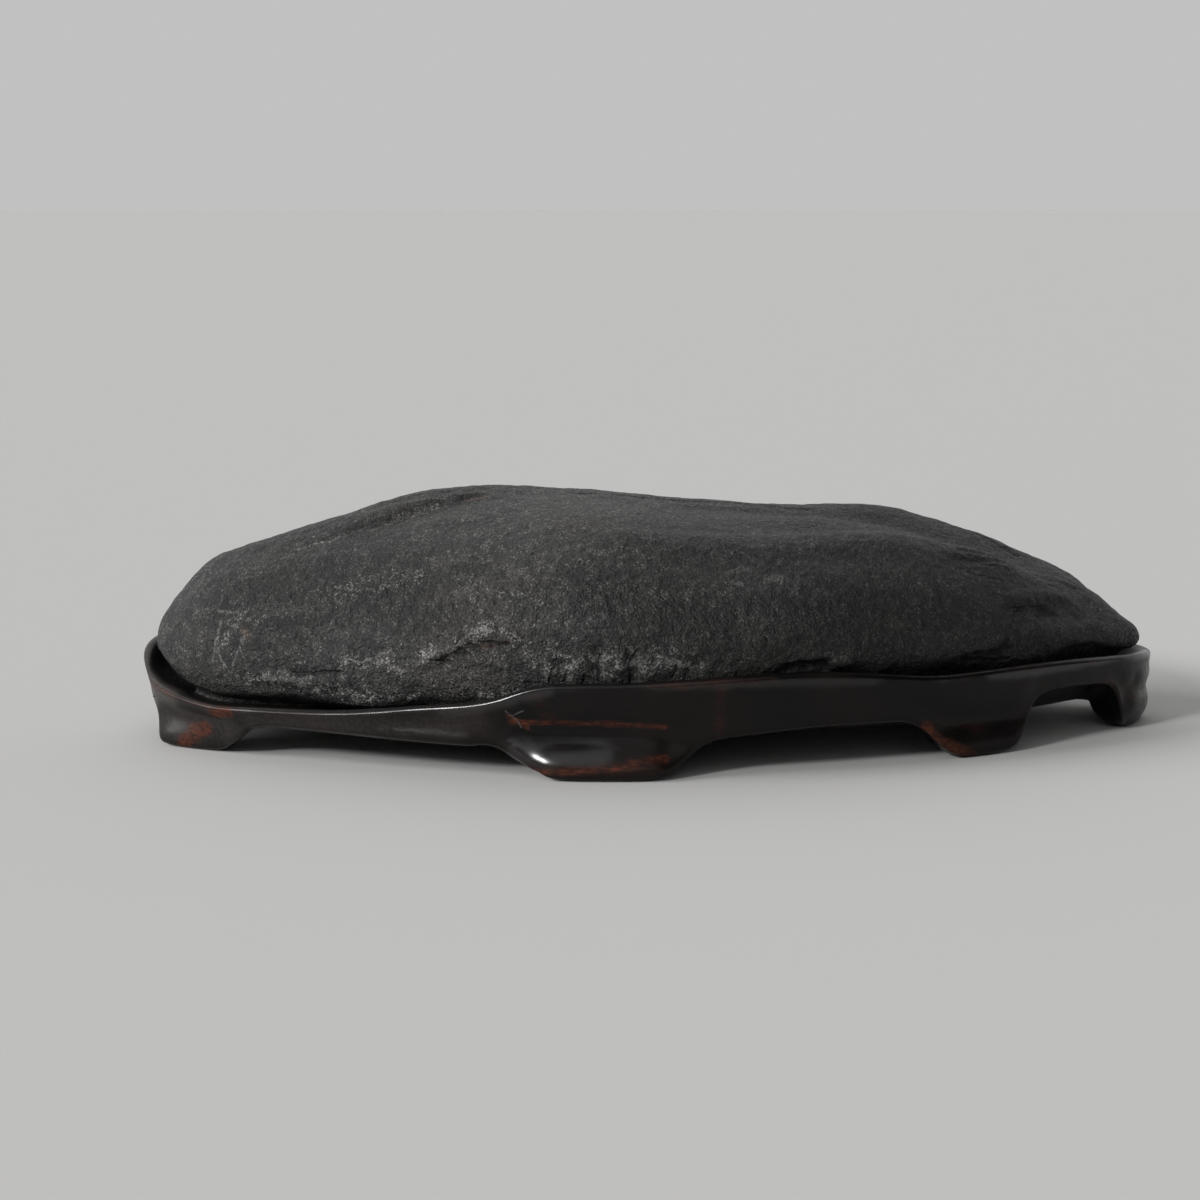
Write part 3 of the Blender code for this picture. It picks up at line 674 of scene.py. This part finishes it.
def line_group():
    """1 on a wavering line on the front of a piece, and 0 past its half width, seen straight on."""
    group, entry, leave = new_group(
        "fine_line",
        [
            ("Coordinates", "NodeSocketVector"),
            ("Start", "NodeSocketVector"),
            ("Run", "NodeSocketVector"),
            ("Width", "NodeSocketFloat"),
            ("Waver", "NodeSocketFloat"),
        ],
        [("Mask", "NodeSocketFloat")],
    )

    def vectors(operation, first, second):
        return place(group, "VectorMath", {0: first, 1: second}, operation=operation)

    def scaled(vector, times):
        return place(group, "VectorMath", {0: vector, "Scale": times}, operation="SCALE").outputs[0]

    here = entry.outputs["Coordinates"]
    run = entry.outputs["Run"]
    shift = place(group, "TexNoise", {"Vector": here, "Scale": WAVER_SCALE, "Detail": 4.0}).outputs["Color"]
    shift = vectors("SUBTRACT", shift, (0.5, 0.5, 0.5)).outputs[0]
    shift = scaled(shift, entry.outputs["Waver"])
    offset = vectors("SUBTRACT", vectors("ADD", here, shift).outputs[0], entry.outputs["Start"]).outputs[0]
    offset = vectors("MULTIPLY", offset, (1, 0, 1)).outputs[0]
    reach = vectors("DOT_PRODUCT", offset, run).outputs["Value"]
    length = vectors("DOT_PRODUCT", run, run).outputs["Value"]
    share = place(group, "Clamp", {"Value": maths(group, "DIVIDE", reach, length)}).outputs[0]
    gap = vectors("DISTANCE", offset, scaled(run, share)).outputs["Value"]
    gap = maths(group, "DIVIDE", gap, entry.outputs["Width"])
    front = ranged(group, place(group, "SeparateXYZ", {0: here}).outputs["Y"], 0.0, LINES_FRONT * MM)
    mask = maths(group, "MULTIPLY", ranged(group, gap, 0.2, 1.0, 1.0, 0.0), front)
    group.links.new(mask, leave.inputs["Mask"])
    return group


def lines_over(tree, group, coordinates, lines, waver):
    """The strongest of a set of fine lines."""
    mask = 0.0
    for half_width, (x, z), (end_x, end_z) in lines:
        line = use_group(
            tree,
            group,
            Coordinates=coordinates,
            Start=(x * MM, 0, z * MM),
            Run=((end_x - x) * MM, 0, (end_z - z) * MM),
            Width=half_width * MM,
            Waver=waver * MM,
        )
        mask = maths(tree, "MAXIMUM", mask, line)
    return mask


def use_group(tree, group, **inputs):
    made = tree.nodes.new("ShaderNodeGroup")
    made.node_tree = group
    for key, value in inputs.items():
        if isinstance(value, bpy.types.NodeSocket):
            tree.links.new(value, made.inputs[key])
        else:
            made.inputs[key].default_value = value
    return made.outputs[0]


def new_material(name):
    material = bpy.data.materials.new(name)
    material.use_nodes = True
    tree = material.node_tree
    return material, tree, tree.nodes["Principled BSDF"]


def own_coordinates(tree):
    return tree.nodes.new("ShaderNodeTexCoord").outputs["Object"]


def attribute(tree, name):
    return place(tree, "Attribute", attribute_name=name).outputs["Fac"]


def stone_finish(mottle, wear, line):
    material, tree, shader = new_material("weathered_stone")
    coordinates = own_coordinates(tree)
    tilt = (0, math.radians(-BEDS_DIP), 0)
    beds = {"Vector": coordinates, "Rotation": tilt, "Scale": BEDS_STRETCH}
    beds = place(tree, "Mapping", beds).outputs[0]
    clouds = use_group(tree, mottle, Coordinates=coordinates, Size=34.0, Detail=4.0)
    bands = use_group(tree, mottle, Coordinates=beds, Size=7.0, Detail=5.0)
    patches = use_group(tree, mottle, Coordinates=coordinates, Size=3.2, Detail=6.0)
    grain = use_group(tree, mottle, Coordinates=coordinates, Size=0.55, Detail=3.0)
    crystals = place(tree, "TexVoronoi", {"Vector": coordinates, "Scale": CRYSTAL_SCALE}, feature="F1")
    glint = place(tree, "SeparateColor", {0: crystals.outputs["Color"]}).outputs[0]
    drifts = use_group(tree, mottle, Coordinates=beds, Size=15.0, Detail=5.0)
    clumped = maths(tree, "ADD", glint, ranged(tree, patches, 0.2, 0.8, -0.16, 0.06))
    bulge = attribute(tree, "bulge")

    colour = blended(tree, clouds, STONE_COOL, STONE_WARM)
    colour = blended(tree, ranged(tree, bands, 0.2, 0.9, 0.0, 0.65), colour, DARK_BEDS)
    colour = blended(tree, ranged(tree, patches, 0.35, 0.85, 0.0, 0.55), colour, GREY_PATCHES)
    colour = blended(tree, ranged(tree, clumped, 0.80, 0.97, 0.0, 0.85), colour, GREY_FLECKS)
    broken = use_group(tree, mottle, Coordinates=coordinates, Size=2.4, Detail=6.0)
    pale = maths(tree, "MULTIPLY", attribute(tree, "pale"), ranged(tree, broken, 0.1, 0.9, 0.15, 1.15))
    crushed = ranged(tree, maths(tree, "ADD", glint, pale), 0.90, 1.30, 0.0, 0.85)
    colour = blended(tree, crushed, colour, CRUSHED_STONE)
    rust = use_group(tree, wear, Coordinates=coordinates, Strength=attribute(tree, "rust"), Size=1.2)
    colour = blended(tree, maths(tree, "MULTIPLY", rust, 0.8), colour, RUST)
    edges = ranged(tree, bulge, 0.15, 0.8, 0.0, 0.35)
    colour = blended(tree, edges, colour, WORN_EDGES)
    # painted shade in the folds: the more sharply the surface bends inwards, the darker it is painted
    fold_shade = ranged(tree, maths(tree, "MULTIPLY", bulge, -1.0), 0.1, 0.8, 0.0, 0.7)
    colour = blended(tree, fold_shade, colour, PAINTED_FOLD_SHADE)
    scratches = lines_over(tree, line, coordinates, STONE_SCRATCHES, STONE_SCRATCH_WAVER)
    scratches = maths(tree, "MULTIPLY", scratches, ranged(tree, glint, 0.0, 0.8, 0.15, 0.85))
    colour = blended(tree, scratches, colour, SCRATCHED_STONE)
    cracks = lines_over(tree, line, coordinates, STONE_CRACKS, STONE_CRACK_WAVER)
    # painted shade: the crack lines are darkened as if in shadow
    colour = blended(tree, maths(tree, "MULTIPLY", cracks, 0.75), colour, PAINTED_CRACK_SHADE)
    shade = ranged(tree, grain, 0.0, 1.0, 0.40, 1.38)
    shade = maths(tree, "MULTIPLY", shade, ranged(tree, drifts, 0.15, 0.85, 0.72, 1.25))
    # painted light and shade: the stone is painted lighter towards its left end, which faces the light, and
    # darker towards its right
    across = place(tree, "SeparateXYZ", {0: coordinates}).outputs["X"]
    shade_turns = [place_across * MM for place_across in PAINTED_SHADE_TURNS]
    shade = maths(tree, "MULTIPLY", shade, ranged(tree, across, *shade_turns, PAINTED_LIGHT_LEFT, PAINTED_SHADE_RIGHT))
    tone = place(tree, "CombineColor", {"Red": shade, "Green": shade, "Blue": shade}).outputs[0]
    colour = blended(tree, 1.0, colour, tone, "MULTIPLY")
    tree.links.new(colour, shader.inputs["Base Color"])
    tree.links.new(ranged(tree, glint, 0.5, 1.0, STONE_ROUGH, GLINTS_ROUGH), shader.inputs["Roughness"])
    shader.inputs["Specular IOR Level"].default_value = STONE_SPECULAR

    coarse = use_group(tree, mottle, Coordinates=coordinates, Size=2.0, Detail=7.0)
    lumps = bumped(tree, coarse, LUMPS_DEPTH)
    fine = bumped(tree, grain, GRAIN_DEPTH, lumps)
    facets = bumped(tree, glint, CRYSTALS_DEPTH, fine, CRYSTALS_STRENGTH)
    split = bumped(tree, maths(tree, "SUBTRACT", 1.0, cracks), CRACKS_DEPTH, facets)
    tree.links.new(split, shader.inputs["Normal"])
    return material


def lacquer_finish(mottle, wear, line):
    material, tree, shader = new_material("rubbed_lacquer")
    coordinates = own_coordinates(tree)
    grain_run = place(tree, "Mapping", {"Vector": coordinates, "Scale": GRAIN_STRETCH}).outputs[0]
    clouds = use_group(tree, mottle, Coordinates=coordinates, Size=22.0, Detail=4.0)
    fibres = use_group(tree, mottle, Coordinates=grain_run, Size=0.8, Detail=4.0)
    bulge = attribute(tree, "bulge")

    black = blended(tree, clouds, LACQUER_BLACK, LACQUER_BROWN)
    wood = blended(tree, fibres, WOOD_DARK, WOOD_RED)
    edge = ranged(tree, bulge, 0.30, 1.0, 0.0, 0.5)
    strength = maths(tree, "MAXIMUM", edge, attribute(tree, "rubbed"))
    worn = use_group(tree, wear, Coordinates=grain_run, Strength=strength, Size=3.0)
    specks = use_group(tree, mottle, Coordinates=coordinates, Size=1.0, Detail=5.0)
    # dusty grey, painted as dust at the back and as painted sheen on the left lip, foot and apron
    sheen_and_dust_film = maths(tree, "MULTIPLY", attribute(tree, "sheen_and_dust"), ranged(tree, specks, 0.0, 1.0, 0.55, 1.0))
    black = blended(tree, sheen_and_dust_film, black, SHEEN_AND_DUST_GREY)
    colour = blended(tree, worn, black, wood)
    scratches = lines_over(tree, line, coordinates, STAND_SCRATCHES, STAND_SCRATCH_WAVER)
    scratches = maths(tree, "MULTIPLY", scratches, ranged(tree, specks, 0.1, 0.7, 0.15, 0.7))
    colour = blended(tree, scratches, colour, SCRATCHED_LACQUER)
    # painted shade: walls inside the rim that face the middle of the stand are darkened nearly to black
    inside = attribute(tree, "inside")
    colour = blended(tree, maths(tree, "MULTIPLY", inside, 0.85), colour, PAINTED_RIM_SHADE)
    tree.links.new(colour, shader.inputs["Base Color"])
    matte = maths(tree, "MAXIMUM", worn, sheen_and_dust_film)
    rough = ranged(tree, clouds, 0.0, 1.0, *LACQUER_ROUGH)
    rough = maths(tree, "ADD", rough, maths(tree, "MULTIPLY", matte, MATTE_ROUGHER))
    tree.links.new(rough, shader.inputs["Roughness"])
    shader.inputs["Specular IOR Level"].default_value = LACQUER_SPECULAR
    shader.inputs["Coat Roughness"].default_value = COAT_ROUGH
    gloss = ranged(tree, attribute(tree, "polished"), 0.0, 1.0, COAT_LEAST, 1.0)
    bare = ranged(tree, maths(tree, "MAXIMUM", matte, inside), 0.0, 1.0, 1.0, COAT_BARE)
    tree.links.new(maths(tree, "MULTIPLY", gloss, bare), shader.inputs["Coat Weight"])

    brushed = use_group(tree, mottle, Coordinates=grain_run, Size=1.5, Detail=4.0)
    waves = use_group(tree, mottle, Coordinates=grain_run, Size=5.0, Detail=2.0)
    soft = bumped(tree, waves, WAVES_DEPTH)
    tree.links.new(bumped(tree, brushed, BRUSHED_DEPTH, soft), shader.inputs["Normal"])
    return material


# ---- the studio ----
def build_studio():
    bpy.ops.object.select_all(action="DESELECT")
    bpy.ops.mesh.primitive_circle_add(vertices=128, radius=FLOOR_RADIUS, fill_type="NGON")
    floor = bpy.context.active_object
    floor.name = "studio_floor"
    material, _, shader = new_material("pale_floor")
    shader.inputs["Base Color"].default_value = (*FLOOR_COLOUR, 1)
    shader.inputs["Roughness"].default_value = 1.0
    shader.inputs["Specular IOR Level"].default_value = 0.1
    floor.data.materials.append(material)

    for name, bearing, height, width, strength in STUDIO_LIGHTS:
        light = bpy.data.lights.new(name, "SUN")
        light.angle = math.radians(width)
        light.energy = strength
        lamp = bpy.data.objects.new(name, light)
        lamp.rotation_euler = (math.radians(90 - height), 0, math.radians(bearing + 90))
        bpy.context.scene.collection.objects.link(lamp)

    world = bpy.data.worlds.new("studio")
    world.use_nodes = True
    bpy.context.scene.world = world
    tree = world.node_tree
    seen = place(tree, "LightPath").outputs["Is Camera Ray"]
    direction = tree.nodes.new("ShaderNodeTexCoord").outputs["Generated"]
    behind = ranged(tree, place(tree, "SeparateXYZ", {0: direction}).outputs["Y"], *BACKGROUND_EDGE)
    glow = ranged(tree, maths(tree, "MAXIMUM", seen, behind), 0.0, 1.0, ROOM_GLOW, BACKGROUND_GLOW)
    tree.links.new(glow, tree.nodes["Background"].inputs["Strength"])
    tree.nodes["Background"].inputs["Color"].default_value = (1, 1, 1, 1)


def build_camera():
    data = bpy.data.cameras.new("view")
    data.lens = CAMERA_LENS
    data.sensor_width = CAMERA_SENSOR
    camera = bpy.data.objects.new("view", data)
    camera.location = CAMERA_PLACE
    camera.rotation_euler = (math.radians(90 - CAMERA_DIP), 0, 0)
    bpy.context.scene.collection.objects.link(camera)
    bpy.context.scene.camera = camera


mottle = mottle_group()
wear = wear_group()
line = line_group()
for piece, finish, node, slot in (
    (build_stone(), stone_finish(mottle, wear, line), "stone", "stone"),
    (build_stand(), lacquer_finish(mottle, wear, line), "stand", "lacquered_wood"),
):
    piece.data.materials.append(finish)
    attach(piece, "root")
    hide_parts(node)
build_studio()
build_camera()
bpy.context.scene.view_settings.view_transform = "Standard"
